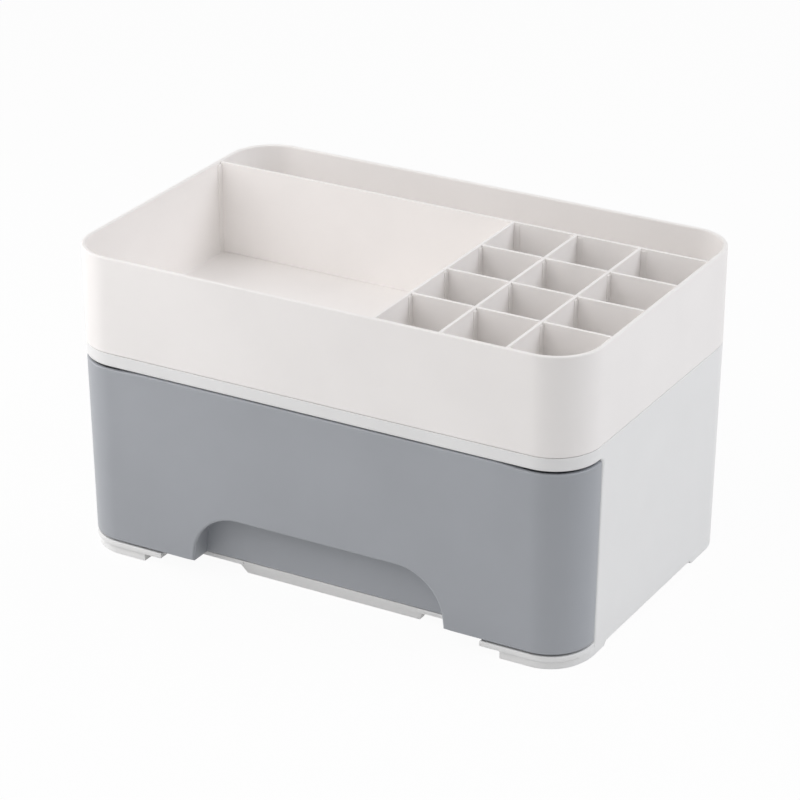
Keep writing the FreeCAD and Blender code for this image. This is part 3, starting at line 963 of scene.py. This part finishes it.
def noise(tree, place, scale, detail):
    """A noise on the object's own coordinates, with `scale` cells to the metre; gives its value socket."""
    texture = tree.nodes.new("ShaderNodeTexNoise")
    texture.inputs["Scale"].default_value = scale
    texture.inputs["Detail"].default_value = detail
    tree.links.new(place.outputs["Object"], texture.inputs["Vector"])
    return texture.outputs["Fac"]


def plastic(name, colour, roughness, grain=0.35 * MM, bump_depth=0.012 * MM, sway=0.02, gloss_sway=0.05):
    """Principled plastic. Over the broad noise's range, the linear colour goes from one minus sway to
    one plus sway times itself, and the roughness from gloss_sway below its value to as far above."""
    material = bpy.data.materials.new(name)
    material.use_nodes = True
    tree = material.node_tree
    nodes, links = tree.nodes, tree.links
    shader = nodes["Principled BSDF"]
    shader.inputs["IOR"].default_value = 1.5
    place = nodes.new("ShaderNodeTexCoord")
    flow = noise(tree, place, 22.0, 3.0)

    tint = nodes.new("ShaderNodeMapRange")
    tint.data_type = "FLOAT_VECTOR"
    # A vector's sockets have numbers: 6 is the value, 7 and 8 the range it comes from, 9 and 10 the new one.
    tint.inputs[7].default_value = (flow_low,) * 3
    tint.inputs[8].default_value = (flow_high,) * 3
    tint.inputs[9].default_value = [c * (1 - sway) for c in colour]
    tint.inputs[10].default_value = [c * (1 + sway) for c in colour]
    links.new(flow, tint.inputs[6])
    links.new(tint.outputs["Vector"], shader.inputs["Base Color"])

    gloss = nodes.new("ShaderNodeMapRange")
    gloss.inputs["From Min"].default_value = flow_low
    gloss.inputs["From Max"].default_value = flow_high
    gloss.inputs["To Min"].default_value = roughness - gloss_sway
    gloss.inputs["To Max"].default_value = roughness + gloss_sway
    links.new(flow, gloss.inputs["Value"])
    links.new(gloss.outputs["Result"], shader.inputs["Roughness"])

    bump = nodes.new("ShaderNodeBump")
    bump.inputs["Distance"].default_value = bump_depth
    links.new(noise(tree, place, 1 / grain, 2.0), bump.inputs["Height"])
    links.new(bump.outputs["Normal"], shader.inputs["Normal"])
    return material


# %% Three plastics, given to the pieces
tray_plastic = plastic("satin_tray_white", (0.957, 0.93, 0.91), 0.5)
cabinet_plastic = plastic("satin_cabinet_white", (0.86, 0.86, 0.854), 0.4)
drawer_plastic = plastic("satin_drawer_grey", (0.38, 0.397, 0.425), 0.4, sway=0.03)
for piece in [tray, divider] + slats:
    piece.data.materials.append(tray_plastic)
cabinet.data.materials.append(cabinet_plastic)
for piece in (drawer_panel, drawer_tub):
    piece.data.materials.append(drawer_plastic)
print("materials:", sorted(material.name for material in bpy.data.materials))

# %% [markdown]
# ## A white studio
#
# The box stands on white paper that runs away to white. More light would bring the paper there, but it
# would also bleach the box. So the floor and the world ask what kind of ray has met them. A ray from the
# camera, or one that a glossy or clear surface has sent on, sees white, and every other ray sees plain
# paper and a faint sky. The floor keeps a twentieth of its own shading even for the camera, which holds the
# box's soft shadow.

# %% What the camera and the reflections see
def seen_directly(tree):
    """A socket that is 1 for camera, glossy and transmission rays: the largest of the three."""
    path = tree.nodes.new("ShaderNodeLightPath")
    seen = path.outputs["Is Camera Ray"]
    for kind in ("Is Glossy Ray", "Is Transmission Ray"):
        larger = tree.nodes.new("ShaderNodeMath")
        larger.operation = "MAXIMUM"
        tree.links.new(seen, larger.inputs[0])
        tree.links.new(path.outputs[kind], larger.inputs[1])
        seen = larger.outputs["Value"]
    return seen


def mixed(tree, factor, first, second, output):
    """Two shaders mixed by the factor into the output node: 0 gives the first one and 1 the second."""
    blend = tree.nodes.new("ShaderNodeMixShader")
    tree.links.new(factor, blend.inputs["Fac"])
    tree.links.new(first, blend.inputs[1])
    tree.links.new(second, blend.inputs[2])
    tree.links.new(blend.outputs["Shader"], tree.nodes[output].inputs["Surface"])


# %% Floor
floor_half = 6.0
paper_grey = 0.85
white_share = 0.95

floor_mesh = bpy.data.meshes.new("studio_floor")
floor_corners = [(x, y, 0) for x, y in rectangle(-floor_half, -floor_half, floor_half, floor_half)]
floor_mesh.from_pydata(floor_corners, [], [(0, 1, 2, 3)])
floor = new_object("studio_floor", floor_mesh)

paper = bpy.data.materials.new("studio_paper")
paper.use_nodes = True
tree = paper.node_tree
tree.nodes.remove(tree.nodes["Principled BSDF"])
share = tree.nodes.new("ShaderNodeMath")
share.operation = "MULTIPLY"
share.inputs[1].default_value = white_share
tree.links.new(seen_directly(tree), share.inputs[0])
matt = tree.nodes.new("ShaderNodeBsdfDiffuse")
matt.inputs["Color"].default_value = (paper_grey, paper_grey, paper_grey, 1)
glow = tree.nodes.new("ShaderNodeEmission")
mixed(tree, share.outputs["Value"], matt.outputs["BSDF"], glow.outputs["Emission"], "Material Output")
floor_mesh.materials.append(paper)
print(f"the floor is {2 * floor_half:.0f} m wide")

# %% World
sky_strength = 0.4

world = bpy.data.worlds.new("studio_world")
bpy.context.scene.world = world
world.use_nodes = True
tree = world.node_tree
around = tree.nodes["Background"]
around.inputs["Color"].default_value = (1.0, 1.0, 1.0, 1)
around.inputs["Strength"].default_value = sky_strength
backdrop = tree.nodes.new("ShaderNodeBackground")
mixed(tree, seen_directly(tree), around.outputs["Background"], backdrop.outputs["Background"],
      "World Output")
print("sky strength", sky_strength)

# %% [markdown]
# ## Softboxes
#
# White plastic shows its shape only by small steps of grey, so the lamps are large and soft, and no single
# one is strong enough to clip a face to white. A large one lights the front from the left and one the right
# side. A third stands high in front, and two small low ones brighten the drawer's rounded left end. A sun
# lamp would draw hard shadows that a studio doesn't have.

# %% Five softboxes
aim = Vector((0, 0, 0.08))


def softbox(name, bearing, rise, distance, size, power, colour):
    """A square area light that looks at the box's middle. It stands off by the distance times the cosine of
    the rise, and higher by the distance times the sine. Bearings are in degrees, 0 to the right and growing
    towards the rear."""
    data = bpy.data.lights.new(name, "AREA")
    data.size = size
    data.energy = power
    data.color = colour
    lamp = new_object(name, data)
    flat = distance * math.cos(math.radians(rise))
    side, depth = math.cos(math.radians(bearing)), math.sin(math.radians(bearing))
    place = Vector((flat * side, flat * depth, aim.z + distance * math.sin(math.radians(rise))))
    lamp.location = place
    lamp.rotation_euler = (aim - place).to_track_quat("-Z", "Y").to_euler()
    print(f"{name}: {power} W at {bearing} degrees")


warm = (1.0, 0.985, 0.99)
cool = (0.945, 0.955, 1.0)
softbox("left_softbox", -143, 40, 1.2, 0.8, 3.0, warm)
softbox("side_softbox", -168, 15, 0.9, 0.5, 1.5, warm)
softbox("low_softbox", -150, 10, 0.6, 0.35, 0.25, warm)
softbox("front_softbox", -112, 47, 1.2, 0.8, 2.5, warm)
softbox("right_softbox", 22, 37, 1.4, 0.8, 7.3, cool)

# %% [markdown]
# ## Camera
#
# The photograph looks at the box from about 30 degrees to the right of its front and 25 degrees above, with
# so little perspective that the lens must be long. The Standard view transform shows a colour as it is
# written, while Blender's default would make the white plastic greyer.

# %% Camera
camera_data = bpy.data.cameras.new("camera")
camera_data.lens = 145.8
camera_data.sensor_width = 36.0
camera = new_object("camera", camera_data)
camera.location = (0.6697, -1.1786, 0.6952)
look_down, turn_left = 24.70, 29.69
camera.rotation_euler = (math.radians(90 - look_down), 0, math.radians(turn_left))
bpy.context.scene.camera = camera
bpy.context.scene.view_settings.view_transform = "Standard"
print(f"{camera_data.lens} mm lens, {(camera.location - aim).length:.3f} m from the box")
